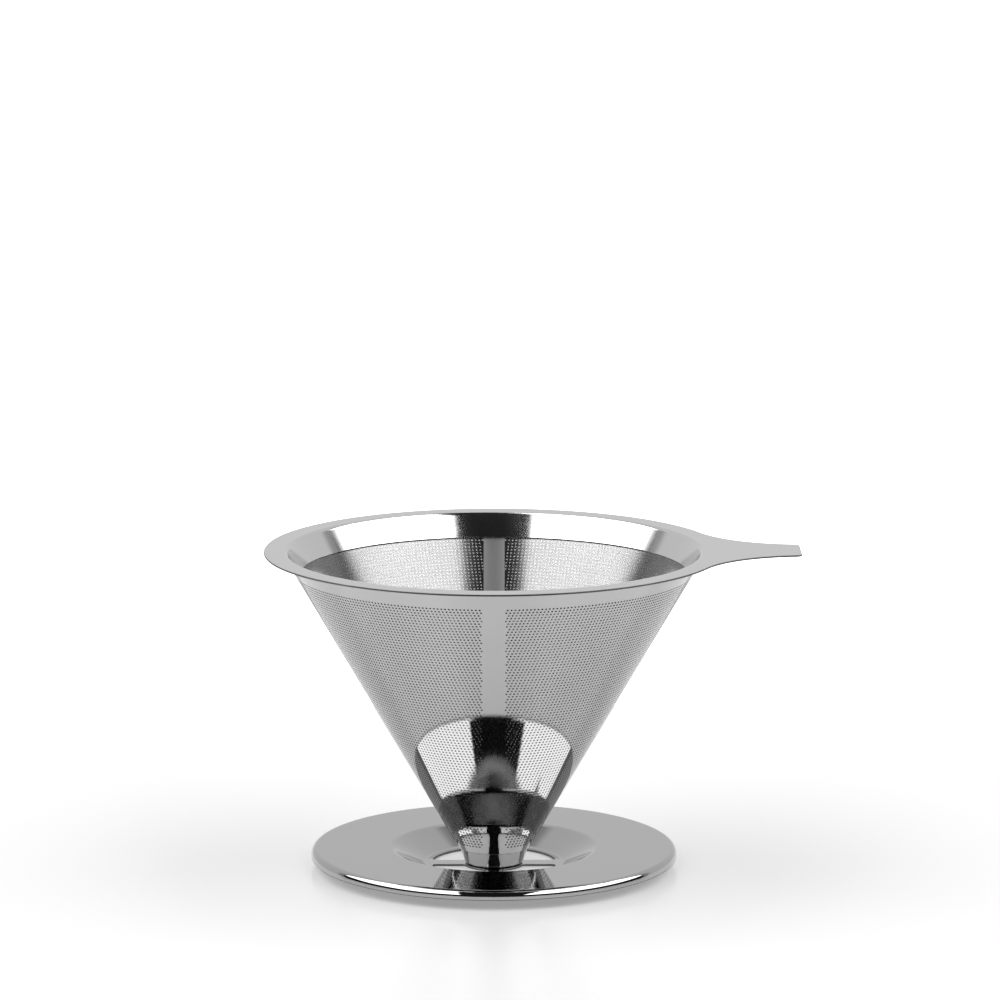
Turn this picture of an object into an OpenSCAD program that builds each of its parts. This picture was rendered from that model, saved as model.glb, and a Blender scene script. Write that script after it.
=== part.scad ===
// Paperless pour over dripper: a two-layer steel filter cone with a flat rim and thumb tab,
// closed by a drawn cap and welded to the cross of a shallow round base.
// Millimetres, +Z up. The origin is on the cone's axis, on the plane that the base rests on.
// The filter's fine holes are far too many for solids, so both filter layers are plain sheet here.

/* [Filter cone] */
// Height of the rim's top face above the resting plane
rim_height = 87.9; // [70:0.1:110]
// Radius where the outer cone's surface would meet the rim's top face
cone_radius = 57.6; // [50:0.1:60]
// Half of the cone's point angle, in degrees
cone_half_angle = 30; // [29:0.5:31]
// Sheet thickness of the perforated outer cone
cone_sheet = 0.4; // [0.3:0.05:0.5]
// Thickness of the woven inner layer
mesh_sheet = 0.15; // [0.1:0.01:0.2]
// Height at which the outer cone is cut off
cone_bottom = 5.3; // [4.5:0.1:6]
// Width of the plain lap along the inner layer's seam
mesh_lap = 5.9; // [3:0.1:8]
// Width of the weld line that closes the outer cone
seam_weld_width = 0.6; // [0.4:0.1:1]

/* [Rim and thumb tab] */
// Outer radius of the flat rim
rim_radius = 62.5; // [61:0.1:68]
// Sheet thickness of the rim stamping
rim_sheet = 0.5; // [0.4:0.05:0.6]
// Outer radius of the bend between rim and collar
rim_bend = 1.5; // [1.2:0.1:2]
// Depth of the collar below the rim's top face
collar_depth = 6.7; // [5:0.1:10]
// Distance from the axis to the thumb tab's tip
tab_reach = 83.4; // [78:0.1:95]
// Width of the thumb tab at its tip
tab_width = 16; // [12:0.5:20]
// Corner radius at the tab's tip
tab_corner = 1.8; // [0.5:0.1:4]

/* [Base] */
// Outer radius of the base
base_radius = 50.1; // [45:0.1:60]
// Height of the base's flat top
base_height = 5.2; // [5:0.1:6]
// Sheet thickness of the base
base_sheet = 0.6; // [0.5:0.05:0.8]
// Height of the turned-down edge
skirt_height = 2.6; // [2.4:0.1:3.5]
// Outer bend radius of the turned-down edge
skirt_bend = 1.7; // [1.2:0.1:2]
// Radius where the dish starts
dish_radius = 28; // [27:0.5:32]
// Radius where the dish's floor starts
floor_radius = 19.2; // [19:0.1:20]
// Bend radius at both ends of the dish's wall, in the middle of the sheet
dish_bend = 3; // [2:0.1:4]
// Radius of the round opening in the dish
opening_radius = 17.2; // [16:0.1:18]
// Width of each arm of the cross
arm_width = 4.8; // [4:0.1:6]
// Radius of the hub in the middle of the cross
hub_radius = 8.2; // [7.9:0.1:8.6]
// Corner radius of the four openings
opening_corner = 1.2; // [0.5:0.1:1.5]

/* [Cap] */
// Sheet thickness of the cap
cap_sheet = 0.5; // [0.4:0.05:0.6]
// Height of the cap's upper edge
cap_top = 9.2; // [8:0.1:12]
// Height where the cap's wall turns parallel to the cone
cap_knee = 6.5; // [6:0.1:7]
// Slope of the cap's lower wall away from the vertical, in degrees
cap_slope = 19.6; // [17:0.1:21]
// Outer bend radius at the cap's bottom
cap_bend = 1.2; // [0.8:0.1:1.5]

/* [Hidden] */
$fn = 180;
slope = tan(cone_half_angle);
rim_under = rim_height - rim_sheet;
// How far a cutting shape runs past what it cuts
margin = 1;
// Clearances between neighbouring sheets
layer_gap = 0.03;
cap_gap = 0.04;
// Space between the outer cone's upper edge and the rim, bridged by the weld
cone_gap = 0.3;
// How far the inner layer reaches up behind the collar, and stops above the cap's knee
mesh_behind = 4;
mesh_clear = 0.2;
// Horizontal width of a sheet that follows the cone
function across(sheet) = sheet / cos(cone_half_angle);
// Depth of each layer's outer face inside the outer cone's surface, measured horizontally
mesh_inset = across(cone_sheet) + layer_gap;
collar_inset = mesh_inset + across(mesh_sheet) + layer_gap;
cone_top = rim_under - cone_gap;
mesh_top = rim_height - collar_depth + mesh_behind;
mesh_bottom = cap_knee + mesh_clear;
cap_inset = collar_inset + cap_gap;
hub_top = base_sheet;
spot_count = 4;
spot_radius = 1.2;
spot_circle = 4.6;
rim_weld_leg = 0.55;
rim_weld_root = 0.12;
cap_weld_leg = 0.3;

// Radius of the outer cone's surface at height z
function cone_r(z) = cone_radius - (rim_height - z) * slope;

// One frustum-shaped sheet that follows the cone, between two heights
module cone_layer(inset, sheet, low, high) {
    rotate_extrude()
        polygon([
            [cone_r(low) - inset, low],
            [cone_r(high) - inset, high],
            [cone_r(high) - inset - across(sheet), high],
            [cone_r(low) - inset - across(sheet), low]
        ]);
}

// An upright slab along one side of the axis, for cutting a strip out of a cone
module strip(width, side) {
    translate([-width / 2, side > 0 ? 0 : -rim_radius, 0])
        cube([width, rim_radius, rim_height]);
}

// Flat outline of the rim, with the tab's sides flaring into the round edge
flare_lead = 0.6;
flare_x = tab_reach + flare_lead;
half_tab = tab_width / 2;
flare_r = (flare_x * flare_x + half_tab * half_tab - rim_radius * rim_radius)
          / (2 * (rim_radius - half_tab));
flare_y = half_tab + flare_r;
flare_share = rim_radius / (rim_radius + flare_r);
corner_x = tab_reach - tab_corner;
corner_y = flare_y - sqrt(pow(flare_r + tab_corner, 2) - pow(flare_x - corner_x, 2));

module rim_outline() {
    circle(r = rim_radius);
    difference() {
        polygon([
            [0, 0],
            [flare_x * flare_share, -flare_y * flare_share],
            [flare_x, -flare_y],
            [tab_reach, -half_tab],
            [tab_reach, half_tab],
            [flare_x, flare_y],
            [flare_x * flare_share, flare_y * flare_share]
        ]);
        for (side = [-1, 1])
            translate([flare_x, side * flare_y])
                circle(r = flare_r);
        tab_corner_cut();
        mirror([0, 1])
            tab_corner_cut();
    }
}

// What is taken off one corner of the tab's tip to round it
module tab_corner_cut() {
    toward_flare = [flare_x - corner_x, flare_y - corner_y] / (flare_r + tab_corner);
    difference() {
        polygon([
            [corner_x, corner_y],
            [tab_reach + margin, corner_y],
            [tab_reach + margin, corner_y + 2 * tab_corner],
            [corner_x, corner_y] + 2 * tab_corner * toward_flare
        ]);
        translate([corner_x, corner_y])
            circle(r = tab_corner);
    }
}

// The bend between rim and collar, centred below and outside the sheet
bend_in = rim_bend - rim_sheet;
collar_out_r = cone_radius - collar_inset;
collar_face_r = collar_out_r - across(rim_sheet);
bend_centre_r = collar_face_r + rim_bend * tan((90 - cone_half_angle) / 2);
bend_centre_z = rim_height - rim_bend;
collar_low = rim_height - collar_depth;

// Flat rim with its thumb tab, bent into the conical collar, as one stamping
module rim_flange() {
    color("silver") {
        difference() {
            translate([0, 0, rim_under])
                linear_extrude(height = rim_sheet)
                    rim_outline();
            translate([0, 0, rim_under - margin])
                cylinder(r = bend_centre_r, h = rim_sheet + 2 * margin);
        }
        rotate_extrude()
            collar_section();
    }
}

// Section of the bend and the collar
module collar_section() {
    difference() {
        polygon([
            [bend_centre_r, rim_height],
            [collar_face_r, rim_height],
            [collar_face_r - collar_depth * slope, collar_low],
            [collar_out_r - collar_depth * slope, collar_low],
            [bend_centre_r - bend_in * cos(cone_half_angle),
             bend_centre_z + bend_in * sin(cone_half_angle)],
            [bend_centre_r, bend_centre_z]
        ]);
        difference() {
            polygon([
                [bend_centre_r, bend_centre_z],
                [bend_centre_r, rim_height + margin],
                [collar_face_r - margin, rim_height + margin],
                [bend_centre_r - 2 * rim_bend * cos(cone_half_angle),
                 bend_centre_z + 2 * rim_bend * sin(cone_half_angle)]
            ]);
            translate([bend_centre_r, bend_centre_z])
                circle(r = rim_bend);
        }
        translate([bend_centre_r, bend_centre_z])
            circle(r = bend_in);
    }
}

// Perforated outer sheet, open along its weld line at the front
module outer_cone() {
    color("gainsboro")
        difference() {
            cone_layer(0, cone_sheet, cone_bottom, cone_top);
            strip(seam_weld_width, -1);
        }
}

// Weld line that closes the outer sheet
module outer_seam_weld() {
    color("lightgray")
        intersection() {
            cone_layer(0, cone_sheet, cone_bottom, cone_top);
            strip(seam_weld_width, -1);
        }
}

// Finely woven inner layer, open at the back where its lap closes it
module inner_mesh_cone() {
    color("darkgray")
        difference() {
            cone_layer(mesh_inset, mesh_sheet, mesh_bottom, mesh_top);
            strip(mesh_lap, 1);
        }
}

// Plain welded lap of the inner layer
module mesh_seam_lap() {
    color("lightgray")
        intersection() {
            cone_layer(mesh_inset, mesh_sheet, mesh_bottom, mesh_top);
            strip(mesh_lap, 1);
        }
}

// Section of the cap as a filled shape, drawn in from its outer face
knee_r = cone_r(cap_knee) - cap_inset;
module cap_fill(drawn_in, top) {
    bend = cap_bend - drawn_in;
    knee_shift = drawn_in / (1 + cos(cone_half_angle - cap_slope));
    foot_r = knee_r - (cap_knee - hub_top) * tan(cap_slope);
    bend_r = foot_r - cap_bend * tan((90 - cap_slope) / 2);
    bend_z = hub_top + cap_bend;
    polygon([
        [0, hub_top + drawn_in],
        [bend_r, hub_top + drawn_in],
        [bend_r + bend * cos(cap_slope), bend_z - bend * sin(cap_slope)],
        [knee_r - knee_shift * (cos(cap_slope) + cos(cone_half_angle)),
         cap_knee + knee_shift * (sin(cap_slope) + sin(cone_half_angle))],
        [cone_r(top) - cap_inset - across(drawn_in), top],
        [0, top]
    ]);
    intersection() {
        translate([bend_r, bend_z])
            circle(r = bend);
        square([2 * knee_r, cap_top]);
    }
}

// Drawn cup that closes the cone's end and stands on the hub
module bottom_cap() {
    color("silver")
        rotate_extrude()
            difference() {
                cap_fill(0, cap_top);
                cap_fill(cap_sheet, cap_top + margin);
            }
}

// A bent length of sheet: the part of a ring between two angles
module bend_section(centre, mid_r, from, to) {
    far = 2 * mid_r + base_sheet;
    translate(centre)
        intersection() {
            difference() {
                circle(r = mid_r + base_sheet / 2);
                circle(r = mid_r - base_sheet / 2);
            }
            polygon([
                [0, 0],
                far * [cos(from), sin(from)],
                far * [cos((from + to) / 2), sin((from + to) / 2)],
                far * [cos(to), sin(to)]
            ]);
        }
}

// The dish's wall runs straight between two bends of equal radius
mid_top = base_height - base_sheet / 2;
mid_floor = base_sheet / 2;
wall_angle = atan((mid_top - mid_floor) / (dish_radius - floor_radius));
wall_tangent = dish_bend * tan(wall_angle / 2);
upper_centre = [dish_radius + wall_tangent, mid_top - dish_bend];
lower_centre = [floor_radius - wall_tangent, mid_floor + dish_bend];
wall_normal = [-sin(wall_angle), cos(wall_angle)];
plate_border = 0.5;
plate_r = opening_radius + plate_border;

module base_section() {
    skirt_centre = [base_radius - skirt_bend, base_height - skirt_bend];
    translate([base_radius - base_sheet, skirt_height])
        square([base_sheet, skirt_centre[1] - skirt_height]);
    bend_section(skirt_centre, skirt_bend - base_sheet / 2, 0, 90);
    translate([upper_centre[0], base_height - base_sheet])
        square([skirt_centre[0] - upper_centre[0], base_sheet]);
    bend_section(upper_centre, dish_bend, 90, 90 + wall_angle);
    polygon([
        upper_centre + (dish_bend + base_sheet / 2) * wall_normal,
        upper_centre + (dish_bend - base_sheet / 2) * wall_normal,
        lower_centre - (dish_bend + base_sheet / 2) * wall_normal,
        lower_centre - (dish_bend - base_sheet / 2) * wall_normal
    ]);
    bend_section(lower_centre, dish_bend, 270, 270 + wall_angle);
    translate([plate_r, 0])
        square([lower_centre[0] - plate_r, base_sheet]);
}

// Each corner's circle crosses the opening's edge by this much, so that the two meet at clear points
corner_cross = 0.01;

// Outline of one of the four openings, with rounded corners
module quadrant_opening() {
    edge = arm_width / 2;
    difference() {
        intersection() {
            circle(r = opening_radius);
            translate([edge, edge])
                square(opening_radius);
        }
        circle(r = hub_radius);
        for (turned = [0, 1])
            mirror([turned, -turned]) {
                corner_fill(opening_radius, corner_cross - opening_corner, margin);
                corner_fill(hub_radius, opening_corner - corner_cross, -margin);
            }
    }
}

// Metal left in the corner between an arm and a circle about the axis
module corner_fill(r, gap, beyond) {
    edge = arm_width / 2;
    centre = [sqrt(pow(r + gap, 2) - pow(edge + opening_corner, 2)), edge + opening_corner];
    difference() {
        polygon([
            centre,
            [centre[0], edge],
            [sqrt(r * r - edge * edge) + beyond, edge],
            centre * (r + beyond) / (r + gap)
        ]);
        translate(centre)
            circle(r = opening_corner);
    }
}

// Where the cap is welded to the hub
module spot_places() {
    for (i = [0 : spot_count - 1])
        rotate([0, 0, 360 / spot_count * i])
            translate([spot_circle, 0])
                circle(r = spot_radius);
}

// Round base: turned-down edge, flat top, dish and cross, stamped from one sheet
module base_disc() {
    color("silver") {
        rotate_extrude()
            base_section();
        linear_extrude(height = base_sheet)
            difference() {
                circle(r = plate_r);
                for (turn = [0 : 90 : 270])
                    rotate([0, 0, turn])
                        quadrant_opening();
                spot_places();
            }
    }
}

// Weld that fills the corner between the rim and the outer cone
module rim_weld() {
    color("lightgray")
        rotate_extrude()
            polygon([
                [cone_r(cone_top - rim_weld_leg), cone_top - rim_weld_leg],
                [cone_r(cone_top) + rim_weld_leg, rim_under],
                [bend_centre_r, rim_under],
                [cone_r(cone_top) - rim_weld_root, cone_top],
                [cone_r(cone_top), cone_top]
            ]);
}

// Weld under the outer cone's cut edge, against the cap
module cap_weld() {
    beside_cap = knee_r - (cap_knee - cone_bottom) * tan(cap_slope);
    color("lightgray")
        rotate_extrude()
            polygon([
                [beside_cap, cone_bottom],
                [beside_cap + cap_weld_leg, cone_bottom],
                [beside_cap - cap_weld_leg * tan(cap_slope), cone_bottom - cap_weld_leg]
            ]);
}

// Welds through the hub into the cap's bottom
module hub_spot_welds() {
    color("lightgray")
        linear_extrude(height = base_sheet)
            spot_places();
}

rim_flange();
outer_cone();
outer_seam_weld();
inner_mesh_cone();
mesh_seam_lap();
bottom_cap();
base_disc();
rim_weld();
cap_weld();
hub_spot_welds();
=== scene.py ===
"""Looks of the pour over dripper: finely meshed steel pieces, their materials and a small white studio.

Lengths are in millimetres until a mesh is made, which turns them into metres.
"""

import math

import bmesh
import bpy
import numpy as np
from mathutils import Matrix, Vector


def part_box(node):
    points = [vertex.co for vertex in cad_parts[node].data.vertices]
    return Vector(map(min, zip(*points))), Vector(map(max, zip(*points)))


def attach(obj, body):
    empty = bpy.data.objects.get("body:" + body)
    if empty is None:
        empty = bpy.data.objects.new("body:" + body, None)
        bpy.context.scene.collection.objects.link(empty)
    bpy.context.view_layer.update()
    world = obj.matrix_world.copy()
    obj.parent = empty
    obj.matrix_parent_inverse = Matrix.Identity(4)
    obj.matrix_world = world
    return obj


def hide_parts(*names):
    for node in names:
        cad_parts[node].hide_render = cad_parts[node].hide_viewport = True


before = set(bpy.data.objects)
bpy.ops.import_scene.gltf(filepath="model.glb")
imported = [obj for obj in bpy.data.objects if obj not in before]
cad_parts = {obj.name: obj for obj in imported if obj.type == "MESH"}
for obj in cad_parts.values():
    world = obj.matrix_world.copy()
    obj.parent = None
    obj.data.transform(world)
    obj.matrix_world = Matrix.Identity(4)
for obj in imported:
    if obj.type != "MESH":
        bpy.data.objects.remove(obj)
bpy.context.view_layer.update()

MM = 0.001
TURN = 2 * math.pi


# ---------------------------------------------------------------- sizes

def box_mm(node):
    """Lowest and highest corner of a CAD node, in millimetres."""
    low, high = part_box(node)
    return np.array(low) / MM, np.array(high) / MM


rim_low, rim_high = box_mm("rim_flange")
cone_low, cone_high = box_mm("outer_cone")
liner_low, liner_high = box_mm("inner_mesh_cone")
cap_low, cap_high = box_mm("bottom_cap")
base_low, base_high = box_mm("base_disc")

HALF_ANGLE = math.radians(30)
SIN, COS, SLOPE = math.sin(HALF_ANGLE), math.cos(HALF_ANGLE), math.tan(HALF_ANGLE)
APEX_Z = cone_high[2] - cone_high[0] / SLOPE      # where the outer cone's surface would come to a point
RIM_TOP = rim_high[2]
RIM_RADIUS = rim_high[1]
TAB_REACH = rim_high[0]
RIM_SHEET = 0.5
CONE_SHEET = 0.4
LINER_SHEET = 0.1
LINER_GAP = 0.03                                  # between the woven layer and the perforated one
LAP_SHEET = 0.15
LAP_HALF = 2.95                                   # half of the lap's width
BASE_SHEET = 0.6
CAP_SHEET = 0.5
CUT_EDGE = 0.12                                   # rounding of a sheared edge
SPOT_RING = 4.6                                   # the spot welds' distance from the axis
SPOT_RADIUS = 1.2

WALL_TURN = 150                                   # from +X to the normal of the cone's wall, in degrees
SHARP_ANGLE = math.radians(35)                    # edges steeper than this stay sharp
ROUND_STEPS = 3                                   # facets on a rounded cut edge
BEND_STEPS = 16                                   # facets on a bend of the rim or the skirt
SOFT_BEND_STEPS = 10                              # facets on a bend of the dish
SKIRT_INSIDE_STEPS = 12
CAP_BEND_STEPS = 12
KNEE_STEPS = 4
CORNER_STEPS = 8
TURN_STEPS = 360                                  # facets round the whole object
LAP_STEPS = 12
SEAM_STEPS = 2
CAP_TURN_STEPS = 180
SPOT_STEPS = 32

SAME_POINT = 1e-6                                 # points closer than this are one point
ON_AXIS = 1e-9                                    # points closer than this to the axis lie on it
AXIS_DIGITS = 6                                   # decimals that tell two points on the axis apart


def cone_r(z):
    """Radius of the outer cone's surface at a height."""
    return (z - APEX_Z) * SLOPE


def across(sheet):
    """Horizontal width of a sheet that follows the cone."""
    return sheet / COS


# ---------------------------------------------------------------- meshes

def new_piece(name, points, faces, normals=None, uv=None, node=None, slot=None, material=None):
    """A piece that rides on the one body, from points in millimetres."""
    mesh = bpy.data.meshes.new(name)
    mesh.from_pydata((np.asarray(points) * MM).tolist(), [], faces)
    mesh.shade_smooth()
    if normals is None:
        mesh.set_sharp_from_angle(angle=SHARP_ANGLE)
    else:
        mesh.normals_split_custom_set_from_vertices(np.asarray(normals).tolist())
    if uv is not None:
        layer = mesh.uv_layers.new(name="cloth")
        corners = np.empty(len(mesh.loops), np.int64)
        mesh.loops.foreach_get("vertex_index", corners)
        layer.data.foreach_set("uv", (np.asarray(uv)[corners] * MM).ravel())
    piece = bpy.data.objects.new(name, mesh)
    bpy.context.scene.collection.objects.link(piece)
    if material:
        mesh.materials.append(material)
    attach(piece, "root")
    if node:
        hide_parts(node)
    return piece


def paint_cut_and_shade(piece, material, stretches):
    """Gives the sheared edges their own dark steel, partly painted shade: a stretch is its first face and
    the face after its last.
    """
    piece.data.materials.append(material)
    index = np.zeros(len(piece.data.polygons), np.int32)
    for first, after in stretches:
        index[first:after] = 1
    piece.data.polygons.foreach_set("material_index", index)


def arc(centre, radius, start, stop, steps, inside=False):
    """Points and normals along an arc, in degrees. Inside means that the metal lies outside the arc."""
    angles = np.radians(np.linspace(start, stop, steps + 1))
    out = np.stack([np.cos(angles), np.sin(angles)], 1)
    return np.asarray(centre) + radius * out, -out if inside else out


def joined(*stretches):
    """One profile from several stretches of points and normals."""
    return np.vstack([s[0] for s in stretches]), np.vstack([s[1] for s in stretches])


def rounded_end(centre, direction, sheet, edge, steps=ROUND_STEPS):
    """The rounded cut end of a sheet: centre is the middle of the end, direction points out of the metal.

    It runs from the side on the left of direction, round the end, to the side on the right.
    """
    direction = np.asarray(direction) / np.linalg.norm(direction)
    left = np.array([-direction[1], direction[0]])
    points, normals = [], []
    for side, turns in ((1, np.linspace(0, 90, steps + 1)), (-1, np.linspace(90, 0, steps + 1))):
        for turn in np.radians(turns):
            normal = side * math.cos(turn) * left + math.sin(turn) * direction
            middle = centre + side * (sheet / 2 - edge) * left - edge * direction
            points.append(middle + edge * normal)
            normals.append(normal)
    return np.array(points), np.array(normals)


def lathe(profile, angles):
    """Rings of points and normals from a profile of (radius, height), one ring per profile point."""
    points, normals = profile
    turn = np.stack([np.cos(angles), np.sin(angles)], 1)

    def ring(p):
        return np.column_stack([p[0] * turn, np.full(len(angles), p[1])])

    return [ring(p) for p in points], [ring(n) for n in normals]


def ring_faces(count, size, closed_stack, first=0):
    """Quads between count rings of size points each, every ring closed on itself."""
    along = np.arange(size)
    after = (along + 1) % size
    faces = []
    for i in range(count if closed_stack else count - 1):
        a, b = first + i * size, first + (i + 1) % count * size
        faces += np.stack([a + along, a + after, b + after, b + along], 1).tolist()
    return faces


def even_angles(count):
    """That many angles, evenly round a circle."""
    return np.arange(count) * TURN / count


# ---------------------------------------------------------------- rim with its thumb tab

def rim_outline():
    """The rim's outline from above, anticlockwise, with the tab's sides flaring into the round edge."""
    half_tab, corner, lead = 8.0, 1.8, 0.6
    flare_steps, round_steps, tip_points = 40, 400, 5
    flare_x = TAB_REACH + lead
    flare = (flare_x ** 2 + half_tab ** 2 - RIM_RADIUS ** 2) / (2 * (RIM_RADIUS - half_tab))
    flare_y = half_tab + flare
    corner_x = TAB_REACH - corner
    corner_y = flare_y - math.sqrt((flare + corner) ** 2 - (flare_x - corner_x) ** 2)
    touch = math.degrees(math.atan2(flare_y, flare_x))
    tip = math.degrees(math.atan2(flare_y - corner_y, flare_x - corner_x))
    flare_arc = arc((flare_x, flare_y), flare, tip + 180, touch + 180, flare_steps, inside=True)
    upper = joined(arc((corner_x, corner_y), corner, 0, tip, CORNER_STEPS), tuple(v[1:] for v in flare_arc))
    round_edge = arc((0, 0), RIM_RADIUS, touch, 360 - touch, round_steps)
    flip = np.array([1, -1])
    lower = tuple(v[::-1] * flip for v in upper)
    tip_y = np.linspace(-corner_y, corner_y, tip_points + 2)[1:-1]
    tip_edge = np.column_stack([np.full(tip_points, TAB_REACH), tip_y])
    outwards = np.tile([1.0, 0.0], (tip_points, 1))
    return joined(upper, tuple(v[1:-1] for v in round_edge), lower, (tip_edge, outwards))


def make_rim(material, cut_and_shade_material):
    """Flat rim, bend and collar in one sheet, with rounded cut edges."""
    bend = 1.5
    liner_room = 0.695                            # the collar's outer face lies this far inside the cone
    face_r = cone_r(RIM_TOP) - liner_room - across(RIM_SHEET)
    centre = np.array([face_r + bend * math.tan((math.pi / 2 - HALF_ANGLE) / 2), RIM_TOP - bend])
    low_r = face_r - (RIM_TOP - rim_low[2]) * SLOPE + across(RIM_SHEET) / 2
    outline, out = rim_outline()
    angles = np.arctan2(outline[:, 1], outline[:, 0])
    down = np.array([-SIN, -COS])
    lip = np.array([low_r, rim_low[2]]) - down * RIM_SHEET / 2 * SLOPE
    end_points, end_normals = rounded_end(lip, down, RIM_SHEET, CUT_EDGE)
    profile = joined(
        arc(centre, bend, 90, WALL_TURN, BEND_STEPS),
        (end_points[::-1], end_normals[::-1]),
        arc(centre, bend - RIM_SHEET, WALL_TURN, 90, BEND_STEPS, inside=True))
    rings, ring_normals = lathe(profile, angles)
    cut_from = len(rings) * len(angles)
    for turn in np.linspace(-90, 90, 2 * ROUND_STEPS + 2):
        level = -1 if turn < 0 else 1
        turn = np.radians(turn)
        middle = RIM_TOP - RIM_SHEET / 2 + level * (RIM_SHEET / 2 - CUT_EDGE)
        reach = outline + out * CUT_EDGE * (math.cos(turn) - 1)
        rings.append(np.column_stack([reach, np.full(len(out), middle + CUT_EDGE * math.sin(turn))]))
        ring_normals.append(np.column_stack([out * math.cos(turn), np.full(len(out), math.sin(turn))]))
    faces = ring_faces(len(rings), len(angles), closed_stack=True)
    rim = new_piece("rim_stamping", np.vstack(rings), faces, np.vstack(ring_normals),
                    node="rim_flange", slot="rim_steel", material=material)
    # The rim's cut edge takes the dark steel, partly as painted shade for the gap line under the rim.
    paint_cut_and_shade(rim, cut_and_shade_material, [(cut_from, len(faces) - len(angles))])


# ---------------------------------------------------------------- perforated cone

HOLE_RADIUS = 0.27
HOLE_SIDES = 12
HOLE_PITCH = 1.02                                 # along a row
ROW_PITCH = 0.958                                 # between rows, along the slope
ROWS = 91
FIRST_ROW_DROP = 5.86                             # first row below the rim's top face
ROW_SHIFT = 0.364                                 # each row's shift to the strip, in pitches
PLAIN_HALF = 2.9                                  # half of the plain strip's width
SEAM_HALF = 0.3                                   # half of the weld line's width
HOLES_PER_PIECE = 3100
SAME_ANGLE = 1e-5                                 # points closer than this round the axis are one point


def on_cone(slant, angle, depth):
    """Points on the sheet: slant from the cone's point, angle from the front, depth into the metal."""
    r = slant * SIN - depth * COS
    z = APEX_Z + slant * COS + depth * SIN
    return np.column_stack([r * np.sin(angle), -r * np.cos(angle), z * np.ones_like(angle)])


def row_slant(row):
    """How far a row's holes lie from the cone's point, along the slope."""
    return (RIM_TOP - FIRST_ROW_DROP - APEX_Z) / COS - row * ROW_PITCH


def row_cells(row):
    """The cells' borders and the holes' places on one side of a row, as angles from the front."""
    r = row_slant(row) * SIN
    room = PLAIN_HALF + HOLE_RADIUS
    phase = (0.5 - ROW_SHIFT * row) % 1.0
    first = room + phase * HOLE_PITCH
    count = int((math.pi * r - room - first) // HOLE_PITCH) + 1
    centres = first + np.arange(count) * HOLE_PITCH
    borders = np.append(centres - HOLE_PITCH / 2, centres[-1] + HOLE_PITCH / 2)
    front = np.linspace(SEAM_HALF, borders[0], max(2, math.ceil(borders[0] - SEAM_HALF) + 1))[1:-1]
    back = np.linspace(borders[-1], math.pi * r, max(2, math.ceil(math.pi * r - borders[-1]) + 1))[1:]
    return np.concatenate([front, borders, back]) / r, centres / r


def whole_row(row):
    """Borders and holes all the way round, without the two ends at the seam."""
    borders, centres = row_cells(row)
    return (np.concatenate([borders, (TURN - borders[:-1])[::-1]]),
            np.concatenate([centres, (TURN - centres)[::-1]]))


def merged_angles(a, b):
    """Both rows' borders along the line between them, without near doubles."""
    both = np.sort(np.concatenate([a, b]))
    return both[np.append(True, np.diff(both) > SAME_ANGLE)]


def zip_strip(low, high, low_at, high_at):
    """Triangles between two open lines of points, by their angles."""
    i = j = 0
    faces = []
    while i < len(low) - 1 or j < len(high) - 1:
        if j == len(high) - 1 or (i < len(low) - 1 and low_at[i + 1] <= high_at[j + 1]):
            faces.append((low[i], low[i + 1], high[j]))
            i += 1
        else:
            faces.append((low[i], high[j + 1], high[j]))
            j += 1
    return faces


def zip_ring(hole, border, hole_at, border_at):
    """Triangles between a hole's points and its cell's border, both in order of their bearing."""
    i = j = 0
    n, m = len(hole), len(border)
    faces = []
    while i < n or j < m:
        next_hole = hole_at[i + 1] if i + 1 < n else hole_at[0] + TURN
        next_border = border_at[j + 1] if j + 1 < m else border_at[0] + TURN
        if j == m or (i < n and next_hole <= next_border):
            faces.append((hole[i % n], border[j % m], hole[(i + 1) % n]))
            i += 1
        else:
            faces.append((hole[i % n], border[j % m], border[(j + 1) % m]))
            j += 1
    return faces


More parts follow.
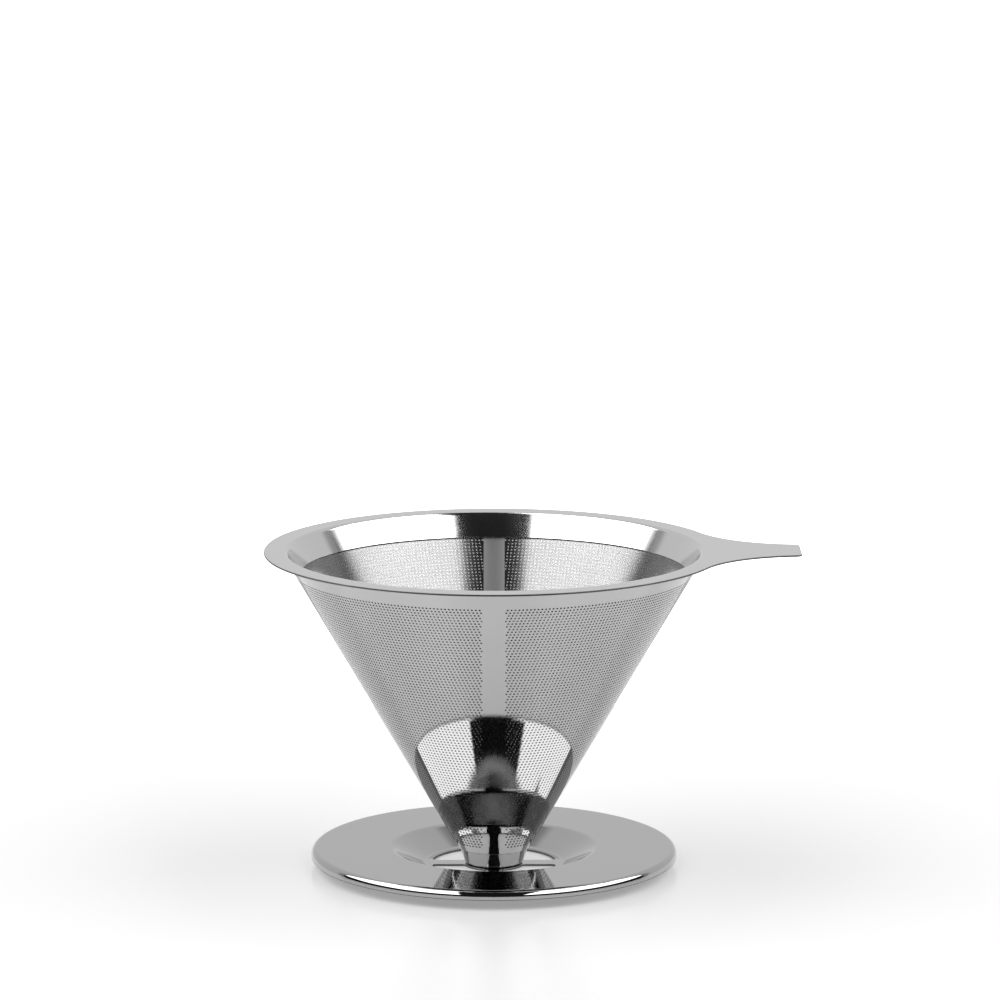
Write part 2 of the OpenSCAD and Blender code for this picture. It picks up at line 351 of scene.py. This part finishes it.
class ConeBand:
    """Some rows of the perforated sheet as one closed mesh. Each outer point has a twin inside."""

    def __init__(self):
        self.outer, self.inner, self.faces, self.walls = [], [], [], []
        self.count = 0

    def add(self, slant, angles, inner_slant=None, inner_angles=None):
        """New points with their twins, and their numbers."""
        self.outer.append(on_cone(slant, angles, 0.0))
        self.inner.append(on_cone(slant if inner_slant is None else inner_slant,
                                  angles if inner_angles is None else inner_angles, CONE_SHEET))
        first = self.count
        self.count += len(angles)
        return list(range(first, self.count))

    def line(self, slant, angles, level=False):
        """A line of points round the sheet from seam to seam. A level one is cut horizontally."""
        inner_slant = slant - CONE_SHEET * SLOPE if level else slant
        ends = [math.asin(SEAM_HALF / r)
                for r in (slant * SIN, inner_slant * SIN - CONE_SHEET * COS)]
        around = [np.concatenate([[end], angles, [TURN - end]]) for end in ends]
        return self.add(slant, around[0], inner_slant, around[1]), around[0]

    def plain(self, low, high):
        """A stretch without holes between two lines."""
        self.faces += zip_strip(low[0], high[0], low[1], high[1])

    def row(self, row, low, high):
        """One row of cells between two lines, each with a hole or plain."""
        slant = row_slant(row)
        borders, centres = whole_row(row)
        borders = np.concatenate([[0], borders, [TURN]])
        turns = np.arange(HOLE_SIDES) * TURN / HOLE_SIDES - math.pi
        arc_r = slant * SIN
        holes = iter(centres)
        centre = next(holes)
        (low_points, low_at), (high_points, high_at) = low, high
        low_cut = np.searchsorted(low_at, borders + SAME_ANGLE / 2)
        high_cut = np.searchsorted(high_at, borders + SAME_ANGLE / 2)
        low_cut[0] = high_cut[0] = 1
        low_cut[-1], high_cut[-1] = len(low_at), len(high_at)
        for i in range(len(borders) - 1):
            a, b = slice(low_cut[i] - 1, low_cut[i + 1]), slice(high_cut[i] - 1, high_cut[i + 1])
            if centre is None or not borders[i] < centre < borders[i + 1]:
                self.faces += zip_strip(low_points[a], high_points[b], low_at[a], high_at[b])
                continue
            hole = self.add(slant + HOLE_RADIUS * np.sin(turns),
                            centre + HOLE_RADIUS * np.cos(turns) / arc_r)
            border = low_points[a] + high_points[b][::-1]
            bearing = ([math.atan2(-ROW_PITCH / 2, (t - centre) * arc_r) for t in low_at[a]]
                       + [math.atan2(ROW_PITCH / 2, (t - centre) * arc_r) for t in high_at[b][::-1]])
            self.faces += zip_ring(hole, border, turns, bearing)
            self.walls += [(hole[k], hole[(k + 1) % HOLE_SIDES]) for k in range(HOLE_SIDES)]
            centre = next(holes, None)

    def close(self, lines):
        """Walls along the lowest and highest line and both edges of the seam. The lines run upwards."""
        low, high = lines[0][0], lines[-1][0]
        self.walls += list(zip(low[1:], low[:-1])) + list(zip(high[:-1], high[1:]))
        starts, ends = [l[0][0] for l in lines], [l[0][-1] for l in lines]
        self.walls += list(zip(starts[:-1], starts[1:])) + list(zip(ends[1:], ends[:-1]))

    def mesh(self):
        """All points, and the faces of the outer side, the inner side and the walls."""
        n = self.count
        faces = list(self.faces)
        faces += [(c + n, b + n, a + n) for a, b, c in self.faces]
        faces += [(a, b, b + n, a + n) for a, b in self.walls]
        return np.vstack(self.outer + self.inner), faces


def make_perforated_cone(material):
    """The outer sheet with every hole cut through, as closed bands of rows that meet edge to edge."""
    rows = [whole_row(k) for k in range(ROWS)]
    groups, held = [[]], 0
    for k in range(ROWS):
        if held + len(rows[k][1]) > HOLES_PER_PIECE:
            groups.append([])
            held = 0
        groups[-1].append(k)
        held += len(rows[k][1])
    for number, group in enumerate(groups, 1):
        band = ConeBand()
        lines = []
        if group[-1] == ROWS - 1:
            lines.append(band.line((cone_low[2] - APEX_Z) / COS, rows[-1][0], level=True))
        below = group[-1] + 1 if group[-1] < ROWS - 1 else group[-1]
        lines.append(band.line(row_slant(group[-1]) - ROW_PITCH / 2,
                               merged_angles(rows[group[-1]][0], rows[below][0])))
        if len(lines) == 2:
            band.plain(lines[0], lines[1])
        for k in reversed(group):
            above = max(k - 1, 0)
            lines.append(band.line(row_slant(k) + ROW_PITCH / 2, merged_angles(rows[k][0], rows[above][0])))
            band.row(k, lines[-2], lines[-1])
        if group[0] == 0:
            lines.append(band.line((cone_high[2] - APEX_Z) / COS, rows[0][0], level=True))
            band.plain(lines[-2], lines[-1])
        band.close(lines)
        points, faces = band.mesh()
        new_piece(f"perforated_cone_{number}", points, faces,
                  node="outer_cone", slot="filter_steel", material=material)


# ---------------------------------------------------------------- woven liner

def cone_strip(name, inset, sheet, low, high, half_turn, steps, middle=0.0, slot="mesh_steel", **kept):
    """A closed sheet that follows the cone between two heights, with its flat cut as a UV map.

    It reaches half_turn(radius) to either side of the angle middle.
    """
    turns = np.linspace(-1, 1, steps + 1)
    lines, uv = [], []
    inner = inset + across(sheet)
    for depth, z in ((inset, low), (inset, high), (inner, high), (inner, low)):
        r = cone_r(z) - depth
        angles = middle + half_turn(r) * turns
        lines.append(np.column_stack([r * np.sin(angles), -r * np.cos(angles), np.full(steps + 1, z)]))
        slant = r / SIN
        uv.append(np.column_stack([slant * np.cos(angles * SIN), slant * np.sin(angles * SIN)]))
    faces = []
    size = steps + 1
    for i in range(4):
        a, b = i * size, (i + 1) % 4 * size
        faces += [(a + k, a + k + 1, b + k + 1, b + k) for k in range(steps)]
    faces += [tuple(i * size for i in range(4)), tuple(i * size + steps for i in (3, 2, 1, 0))]
    return new_piece(name, np.vstack(lines), faces, uv=np.vstack(uv), slot=slot, **kept)


def make_liner(cloth, doubled):
    """The woven layer inside the perforated cone, and the lap that closes it at the back."""
    inset = across(CONE_SHEET) + LINER_GAP
    low, high = liner_low[2], liner_high[2]

    def half_lap(r):
        return math.asin(LAP_HALF / r)

    cone_strip("woven_liner", inset, LINER_SHEET, low, high, lambda r: math.pi - half_lap(r), TURN_STEPS,
               node="inner_mesh_cone", material=cloth)
    cone_strip("liner_lap", inset, LAP_SHEET, low, high, half_lap, LAP_STEPS,
               middle=math.pi, node="mesh_seam_lap", material=doubled)


def make_seam(material):
    """The ground-down weld that closes the perforated cone at the front, flush with the sheet."""
    cone_strip("seam_weld", 0.0, CONE_SHEET, cone_low[2], cone_high[2],
               lambda r: math.asin(SEAM_HALF / r), SEAM_STEPS,
               slot="filter_steel", node="outer_seam_weld", material=material)


# ---------------------------------------------------------------- cap

def make_cap(material):
    """The drawn cup that closes the cone's end."""
    inset, edge = 0.735, 0.1
    knee_z, knee_turn, soft, bend = 6.5, 10.4, 3.0, 1.2
    lean = math.radians(19.6)
    bottom = cap_low[2]
    knee_r = cone_r(knee_z) - inset
    foot_r = knee_r - (knee_z - bottom) * math.tan(lean)
    bend_r = foot_r - bend * math.tan((math.pi / 2 - lean) / 2)
    bend_at = (bend_r, bottom + bend)

    def knee_centre(drawn_in):
        """The centre of the knee's bend, for the face that lies drawn_in inside the outer one."""
        k = np.array([knee_r, knee_z])
        mid = (lean + HALF_ANGLE) / 2
        k = k - drawn_in / math.cos((HALF_ANGLE - lean) / 2) * np.array([math.cos(mid), -math.sin(mid)])
        cut = soft * math.tan((HALF_ANGLE - lean) / 2)
        start = k - cut * np.array([math.sin(lean), math.cos(lean)])
        return start + soft * np.array([math.cos(lean), -math.sin(lean)])

    outer_centre, inner_centre = knee_centre(0), knee_centre(CAP_SHEET)
    up = np.array([SIN, COS])
    lip_r = cone_r(cap_high[2]) - inset - across(CAP_SHEET) / 2
    lip = np.array([lip_r, cap_high[2]]) - up * CAP_SHEET / 2 * SLOPE
    end_points, end_normals = rounded_end(lip, up, CAP_SHEET, edge)
    leaning_in = 180 - math.degrees(lean)
    profile = joined(
        (np.array([[0.0, bottom]]), np.array([[0.0, -1.0]])),
        arc(bend_at, bend, -90, -math.degrees(lean), CAP_BEND_STEPS),
        arc(outer_centre, soft, leaning_in, leaning_in - knee_turn, KNEE_STEPS, inside=True),
        (end_points[::-1], end_normals[::-1]),
        arc(inner_centre, soft, leaning_in - knee_turn, leaning_in, KNEE_STEPS),
        arc(bend_at, bend - CAP_SHEET, -math.degrees(lean), -90, CAP_BEND_STEPS, inside=True),
        (np.array([[0.0, bottom + CAP_SHEET]]), np.array([[0.0, 1.0]])))
    angles = even_angles(CAP_TURN_STEPS)
    rings, normals = lathe(profile, angles)
    faces = ring_faces(len(rings), len(angles), closed_stack=False)
    points, normals, faces = without_poles(np.vstack(rings), np.vstack(normals), faces)
    return new_piece("drawn_cap", points, faces, normals,
                     node="bottom_cap", slot="cap_steel", material=material)


def without_poles(points, normals, faces):
    """Merges the points that lie on the axis at one height, and drops the faces' doubled corners."""
    keys = {}
    to = np.arange(len(points))
    for i in np.nonzero(np.hypot(points[:, 0], points[:, 1]) < ON_AXIS)[0]:
        to[i] = keys.setdefault(round(float(points[i, 2]), AXIS_DIGITS), i)
    used = np.unique(to)
    place = np.full(len(points), -1)
    place[used] = np.arange(len(used))
    kept = []
    for face in faces:
        corners = list(dict.fromkeys(int(place[to[c]]) for c in face))
        if len(corners) > 2:
            kept.append(corners)
    return points[used], normals[used], kept


# ---------------------------------------------------------------- base

def opening_outline():
    """One of the four openings, anticlockwise from above, and its normals into the hole."""
    edge, corner, outside, inside = 2.4, 1.2, 17.2, 8.2
    outside_steps, inside_steps = 40, 24
    reach = edge + corner

    def on(r):
        return math.sqrt(r * r - reach * reach)

    far, near = on(outside - corner), on(inside + corner)
    turn_far = math.degrees(math.atan2(reach, far))
    turn_near = math.degrees(math.atan2(reach, near))
    stretches = [
        arc((far, reach), corner, -90, turn_far, CORNER_STEPS),
        arc((0, 0), outside, turn_far, 90 - turn_far, outside_steps),
        arc((reach, far), corner, 90 - turn_far, 180, CORNER_STEPS),
        arc((reach, near), corner, 180, 270 - turn_near, CORNER_STEPS),
        arc((0, 0), inside, 90 - turn_near, turn_near, inside_steps, inside=True),
        arc((near, reach), corner, 180 + turn_near, 270, CORNER_STEPS)]
    points, out = joined(*stretches)
    keep = np.append(True, np.linalg.norm(np.diff(points, axis=0), axis=1) > SAME_POINT)
    return points[keep], -out[keep]


def make_base(material, cut_and_shade_material):
    """Turned-down edge, flat top, dish and cross in one sheet."""
    bend, dish_bend, spot_edge = 1.7, 3.0, 0.02
    dish_r, floor_r, plate_r, skirt_z = 28.0, 19.2, 17.7, base_low[2] + 2.6
    radius, top = base_high[0], base_high[2]
    half = BASE_SHEET / 2
    rise = top - half - half
    lean = math.atan(rise / (dish_r - floor_r))
    tangent = dish_bend * math.tan(lean / 2)
    upper = (dish_r + tangent, top - half - dish_bend)
    lower = (floor_r - tangent, half + dish_bend)
    skirt = (radius - bend, top - bend)
    lean = math.degrees(lean)
    # The skirt's lip is rounded twice as wide as a cut edge, so that its dark steel shows as a painted
    # contact shadow line along the base's lower edge.
    end_points, end_normals = rounded_end(
        np.array([radius - half, skirt_z]), (0, -1), BASE_SHEET, 2 * CUT_EDGE)
    above = joined(
        (np.array([[plate_r, BASE_SHEET]]), np.array([[0.0, 1.0]])),
        arc(lower, dish_bend - half, 270, 270 + lean, SOFT_BEND_STEPS, inside=True),
        arc(upper, dish_bend + half, 90 + lean, 90, SOFT_BEND_STEPS),
        arc(skirt, bend, 90, 0, BEND_STEPS))
    below = joined(
        arc(skirt, bend - BASE_SHEET, 0, 90, SKIRT_INSIDE_STEPS, inside=True),
        arc(upper, dish_bend - half, 90, 90 + lean, SOFT_BEND_STEPS, inside=True),
        arc(lower, dish_bend + half, 270 + lean, 270, SOFT_BEND_STEPS),
        (np.array([[plate_r, 0.0]]), np.array([[0.0, -1.0]])))
    profile = joined(above, (end_points, end_normals), below)
    angles = even_angles(TURN_STEPS)
    lip_from = len(below[0])                      # the rings run from below to above
    lip = (lip_from * len(angles), (lip_from + len(end_points) - 1) * len(angles))
    rings, ring_normals = lathe([part[::-1] for part in profile], angles)
    faces = ring_faces(len(rings), len(angles), closed_stack=False)
    points, normals = list(np.vstack(rings)), list(np.vstack(ring_normals))
    size = len(angles)
    bottom_loops = [list(range(size))]
    top_loops = [list(range((len(rings) - 1) * size, len(rings) * size))]
    # Stretches that take the dark steel: the skirt's lip, which is painted contact shadow, and the cut
    # edges of the openings and the spot holes.
    shapes, cut = [], [lip]
    outline, into = opening_outline()
    for turn in range(4):
        c, s = math.cos(turn * math.pi / 2), math.sin(turn * math.pi / 2)
        spin = np.array([[c, s], [-s, c]])
        shapes.append((outline @ spin, into @ spin, CUT_EDGE))
    around = even_angles(SPOT_STEPS)
    circle = np.column_stack([np.cos(around), np.sin(around)])
    for place in even_angles(4):
        centre = SPOT_RING * np.array([math.cos(place), math.sin(place)])
        shapes.append((centre + SPOT_RADIUS * circle, -circle, spot_edge))
    for outline, into, soft in shapes:
        first = len(points)
        n = len(outline)
        levels = list(np.linspace(90, 0, ROUND_STEPS + 1)) + list(np.linspace(0, -90, ROUND_STEPS + 1))
        for i, turn in enumerate(np.radians(levels)):
            middle = BASE_SHEET - soft if i <= ROUND_STEPS else soft
            reach = outline + into * soft * (math.cos(turn) - 1)
            z = middle + soft * math.sin(turn)
            points += list(np.column_stack([reach, np.full(n, z)]))
            normals += list(np.column_stack([into * math.cos(turn), np.full(n, math.sin(turn))]))
        cut.append((len(faces), len(faces) + (len(levels) - 1) * n))
        faces += ring_faces(len(levels), n, closed_stack=False, first=first)
        top_loops.append(list(range(first, first + n)))
        bottom_loops.append(list(range(first + (len(levels) - 1) * n, first + len(levels) * n)))
    points, normals = np.array(points), np.array(normals)
    faces += filled(points, top_loops, upward=True) + filled(points, bottom_loops, upward=False)
    base = new_piece("base_stamping", points, faces, normals,
                     node="base_disc", slot="base_steel", material=material)
    paint_cut_and_shade(base, cut_and_shade_material, cut)


def filled(points, loops, upward):
    """Triangles of a flat plate between its outer loop and the loops of its holes."""
    bm = bmesh.new()
    corners = {}
    for loop in loops:
        for i in loop:
            corners[i] = bm.verts.new(points[i])
        for a, b in zip(loop, loop[1:] + loop[:1]):
            bm.edges.new((corners[a], corners[b]))
    back = {v: i for i, v in corners.items()}
    made = bmesh.ops.triangle_fill(bm, edges=bm.edges[:], use_beauty=True, use_dissolve=False)
    faces = []
    for face in (f for f in made["geom"] if isinstance(f, bmesh.types.BMFace)):
        ids = [back[v] for v in face.verts]
        a, b, c = (points[i] for i in ids)
        faces.append(ids if (np.cross(b - a, c - a)[2] > 0) == upward else ids[::-1])
    bm.free()
    return faces


# ---------------------------------------------------------------- materials

MARKS_PER_METRE = 9000.0                          # polishing marks across their length
MARK_STRETCH = 0.0012                             # shortens the way round the axis
MARK_DEPTH = 0.0002
SMEARS_PER_METRE = 60.0
SMEAR_LOW, SMEAR_HIGH = 0.35, 0.65                # the share of the noise that shows as a smear
DARKER, LIGHTER = 0.97, 1.03                      # tone of the steel in and beside a smear
GAP_SHADE_TONE, WIRE_HIGHLIGHT_TONE = 0.8, 1.1               # tone of the painted shade between the wires and of the painted highlight on their tops
WIRE_EDGE = 0.9                                   # of the weave's wave height, where a gap ends


def linked(tree, kind, **inputs):
    """A new node with its sockets set: a value sets the default, a socket is linked to it."""
    node = tree.nodes.new(kind)
    for name, value in inputs.items():
        socket = node.inputs[int(name[1:])] if name[0] == "i" and name[1:].isdigit() else node.inputs[name]
        if isinstance(value, bpy.types.NodeSocket):
            tree.links.new(value, socket)
        else:
            socket.default_value = value
    return node


def math_node(tree, operation, a, b=0.0, c=0.0):
    """One step of arithmetic on values or sockets."""
    node = linked(tree, "ShaderNodeMath", i0=a, i1=b, i2=c)
    node.operation = operation
    return node.outputs[0]


def ramp(tree, value, start, stop, low, high):
    """A soft step from low to high as the value goes from start to stop."""
    node = linked(tree, "ShaderNodeMapRange", Value=value)
    node.interpolation_type = "SMOOTHSTEP"
    for key, number in (("From Min", start), ("From Max", stop), ("To Min", low), ("To Max", high)):
        node.inputs[key].default_value = number
    return node.outputs[0]


def grey(tone):
    """A neutral colour."""
    return tone, tone, tone, 1


def grey_between(tree, factor, dark, light):
    """A neutral colour between two tones."""
    node = linked(tree, "ShaderNodeMix", Factor=factor)
    node.data_type = "RGBA"
    node.inputs["A"].default_value = grey(dark)
    node.inputs["B"].default_value = grey(light)
    return node.outputs["Result"]


def new_metal(name):
    """A bare metal with its node tree and shader."""
    material = bpy.data.materials.new(name)
    material.use_nodes = True
    shader = material.node_tree.nodes["Principled BSDF"]
    shader.inputs["Metallic"].default_value = 1.0
    return material, material.node_tree, shader


def turned_coordinates(tree):
    """Object space as (radius, height, shortened angle): long marks then run round the axis."""
    place = tree.nodes.new("ShaderNodeTexCoord").outputs["Object"]
    split = linked(tree, "ShaderNodeSeparateXYZ", Vector=place)
    x, y, z = split.outputs
    radius = math_node(tree, "SQRT", math_node(tree, "ADD", math_node(tree, "MULTIPLY", x, x),
                                               math_node(tree, "MULTIPLY", y, y)))
    angle = math_node(tree, "ARCTAN2", y, x)
    around = math_node(tree, "MULTIPLY", angle, MARK_STRETCH)
    return linked(tree, "ShaderNodeCombineXYZ", X=radius, Y=z, Z=around).outputs[0]


def steel(name, tone, roughness, brushed=0.02, smudge=0.05):
    """Polished stainless steel with fine turned polishing marks and faint smears."""
    material, tree, shader = new_metal(name)
    place = tree.nodes.new("ShaderNodeTexCoord").outputs["Object"]
    turned = turned_coordinates(tree)
    marks = linked(tree, "ShaderNodeTexNoise", Vector=turned, Scale=MARKS_PER_METRE, Detail=3.0)
    smears = linked(tree, "ShaderNodeTexNoise", Vector=place, Scale=SMEARS_PER_METRE, Detail=4.0,
                    Roughness=0.6)
    rough = linked(tree, "ShaderNodeMapRange", Value=smears.outputs["Fac"])
    rough.inputs["From Min"].default_value = SMEAR_LOW
    rough.inputs["From Max"].default_value = SMEAR_HIGH
    rough.inputs["To Min"].default_value = roughness
    rough.inputs["To Max"].default_value = roughness + smudge
    tree.links.new(rough.outputs[0], shader.inputs["Roughness"])
    tint = grey_between(tree, smears.outputs["Fac"], tone * DARKER, tone * LIGHTER)
    tree.links.new(tint, shader.inputs["Base Color"])
    bump = linked(tree, "ShaderNodeBump", Height=marks.outputs["Fac"], Strength=brushed,
                  Distance=MARK_DEPTH)
    tree.links.new(bump.outputs[0], shader.inputs["Normal"])
    return material


def weave(name, tone, roughness, pitch, cover):
    """Woven wire cloth: wires with painted shade between them and a painted highlight on their tops, and
    gaps that let light through. The wires cover a share of it.
    """
    material, tree, shader = new_metal(name)
    shader.inputs["Roughness"].default_value = roughness
    cloth = tree.nodes.new("ShaderNodeUVMap")
    cloth.uv_map = "cloth"
    split = linked(tree, "ShaderNodeSeparateXYZ", Vector=cloth.outputs[0])
    waves = TURN / (pitch * MM)
    warp, weft = (math_node(tree, "COSINE", math_node(tree, "MULTIPLY", way, waves))
                  for way in split.outputs[:2])
    wires = math_node(tree, "MAXIMUM", warp, weft)
    height = ramp(tree, wires, -1.0, 1.0, 0.0, 1.0)
    # Painted shade where the wires sink towards the gaps, and a painted highlight on their crowns.
    tint = grey_between(tree, height, tone * GAP_SHADE_TONE, tone * WIRE_HIGHLIGHT_TONE)
    tree.links.new(tint, shader.inputs["Base Color"])
    if cover < 1:
        gap = cover - 2 * WIRE_EDGE * (1 - cover)
        tree.links.new(ramp(tree, wires, -WIRE_EDGE, WIRE_EDGE, gap, 1.0), shader.inputs["Alpha"])
    return material


# ---------------------------------------------------------------- studio

TABLE_TONE = 0.43
TABLE_ROUGHNESS = 0.25
TABLE_GLOW = 0.26                                 # a sheet of opal plastic, lit from below
TABLE_DROP = 0.00002                              # keeps the table clear of the base's underside
LAMP_LEVEL = 4.0
WALL_LEVEL = 0.70
DARK_LEVEL = 0.015
BACKDROP_LEVEL = 2.4                              # the overexposed white behind the dripper

SLIT_LEAN = 0.05                                  # the slit's middle moves to the right, up and back
SLIT_SPREAD = 0.23                                # it widens upwards
SLIT_TAPER = 0.25                                 # and narrows backwards
SLIT_SOFT = 0.012                                 # half of the width of its edge
CORNER_SIDE, CORNER_UP = 0.236, 0.443             # the plane between the lamps in front and the wall behind
CORNER_SOFT = 0.015
LAMP_FOOT, LAMP_FULL = 0.42, 0.49                 # heights where the lamps begin and are fully lit
SHADE_FROM, SHADE_TO = -0.16, -0.05               # where the wall darkens towards the corner
SHADE = 0.5

LENS = 189.7                                      # focal length and film width, in millimetres
FILM_WIDTH = 36.0
FAR_CLIP = 20.0
EYE = (0.00165, -1.4061, 0.3569)                  # in metres
LOOK_DOWN = 10.29                                 # in degrees


def make_camera():
    """The view from a little above, with a long lens."""
    data = bpy.data.cameras.new("camera")
    data.lens = LENS
    data.sensor_width = FILM_WIDTH
    data.clip_end = FAR_CLIP
    camera = bpy.data.objects.new("camera", data)
    camera.location = EYE
    camera.rotation_euler = (math.radians(90 - LOOK_DOWN), 0, 0)
    bpy.context.scene.collection.objects.link(camera)
    bpy.context.scene.camera = camera


def make_floor():
    """A pale glossy table top that ends a hand's width in front of the dripper and behind it."""
    material = bpy.data.materials.new("table")
    material.use_nodes = True
    shader = material.node_tree.nodes["Principled BSDF"]
    shader.inputs["Base Color"].default_value = grey(TABLE_TONE)
    shader.inputs["Roughness"].default_value = TABLE_ROUGHNESS
    shader.inputs["Emission Color"].default_value = grey(1)
    shader.inputs["Emission Strength"].default_value = TABLE_GLOW
    mesh = bpy.data.meshes.new("table")
    reach, front, back = 6.0, -0.14, 0.2
    mesh.from_pydata([(-reach, front, 0), (reach, front, 0), (reach, back, 0), (-reach, back, 0)], [],
                     [(0, 1, 2, 3)])
    mesh.materials.append(material)
    floor = bpy.data.objects.new("table", mesh)
    floor.location.z = -TABLE_DROP
    bpy.context.scene.collection.objects.link(floor)


def weighted(tree, *terms):
    """The sum of pairs of a value and its weight."""
    total = 0.0
    for value, weight in terms:
        total = math_node(tree, "MULTIPLY_ADD", value, weight, total)
    return total


def make_studio():
    """A tent of light with a dark slit towards the camera. The camera itself sees plain white.

    Its two lamps stand at the sides from knee height up, and a paler wall closes it at the back.
    """
    world = bpy.data.worlds.new("studio")
    world.use_nodes = True
    bpy.context.scene.world = world
    tree = world.node_tree
    tree.nodes.clear()
    direction = tree.nodes.new("ShaderNodeTexCoord").outputs["Generated"]
    split = linked(tree, "ShaderNodeSeparateXYZ", Vector=direction)
    x, y, z = split.outputs
    side = math_node(tree, "ABSOLUTE", x)

    off_middle = math_node(tree, "ABSOLUTE", weighted(tree, (x, 1.0), (y, -SLIT_LEAN), (z, -SLIT_LEAN)))
    from_slit = weighted(tree, (off_middle, 1.0), (z, -SLIT_SPREAD), (y, SLIT_TAPER))
    beside_slit = ramp(tree, from_slit, -SLIT_SOFT, SLIT_SOFT, 0.0, 1.0)

    before_wall = weighted(tree, (side, CORNER_SIDE), (z, CORNER_UP), (y, -1.0))
    lamp = ramp(tree, before_wall, -CORNER_SOFT, CORNER_SOFT, 0.0, LAMP_LEVEL)
    lamps = math_node(tree, "MULTIPLY", lamp, ramp(tree, z, LAMP_FOOT, LAMP_FULL, 0.0, 1.0))
    shaded = ramp(tree, before_wall, SHADE_FROM, SHADE_TO, WALL_LEVEL, SHADE * WALL_LEVEL)
    wall = math_node(tree, "MULTIPLY", shaded, ramp(tree, before_wall, -CORNER_SOFT, CORNER_SOFT, 1.0, 0.0))
    bright = math_node(tree, "MULTIPLY", math_node(tree, "ADD", lamps, wall), beside_slit)

    level = math_node(tree, "ADD", bright, DARK_LEVEL)
    lit = linked(tree, "ShaderNodeBackground", Color=grey(1), Strength=level)
    plain = linked(tree, "ShaderNodeBackground", Color=grey(1), Strength=BACKDROP_LEVEL)
    seen = tree.nodes.new("ShaderNodeLightPath").outputs["Is Camera Ray"]
    mix = linked(tree, "ShaderNodeMixShader", i0=seen, i1=lit.outputs[0], i2=plain.outputs[0])
    out = tree.nodes.new("ShaderNodeOutputWorld")
    tree.links.new(mix.outputs[0], out.inputs["Surface"])
    bpy.context.scene.view_settings.view_transform = "Standard"


# ---------------------------------------------------------------- the scene

make_camera()
make_floor()
make_studio()

rim_steel = steel("rim_steel", tone=0.66, roughness=0.08)
filter_steel = steel("filter_steel", tone=0.47, roughness=0.03, brushed=0.008, smudge=0.02)
# The cap's steel is darker than the cone's as painted shade: it stands in for the shaded table under the
# base that the cap mirrors.
cap_steel = steel("cap_steel", tone=0.34, roughness=0.05, smudge=0.02)
base_steel = steel("base_steel", tone=0.46, roughness=0.03, brushed=0.008, smudge=0.02)
# Dark rough steel for the sheared edges. The roughness is the cut metal's own. The dark tone is partly the
# cut metal's own and partly painted shade: the gap line under the rim's edge and the contact shadow along
# the base's lower edge.
cut_and_shade_steel = steel("cut_and_shade_steel", tone=0.16, roughness=0.45, brushed=0.2)
weld_steel = steel("weld_steel", tone=0.45, roughness=0.25, brushed=0.2)
wire_cloth = weave("wire_cloth", tone=0.23, roughness=0.17, pitch=0.12, cover=0.63)
lapped_cloth = weave("lapped_cloth", tone=0.17, roughness=0.5, pitch=0.12, cover=1.0)

make_rim(rim_steel, cut_and_shade_steel)
make_perforated_cone(filter_steel)
make_seam(filter_steel)
make_liner(wire_cloth, lapped_cloth)
make_cap(cap_steel)
make_base(base_steel, cut_and_shade_steel)

for node in ("rim_weld", "cap_weld", "hub_spot_welds"):
    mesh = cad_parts[node].data
    mesh.materials.clear()
    mesh.materials.append(weld_steel)
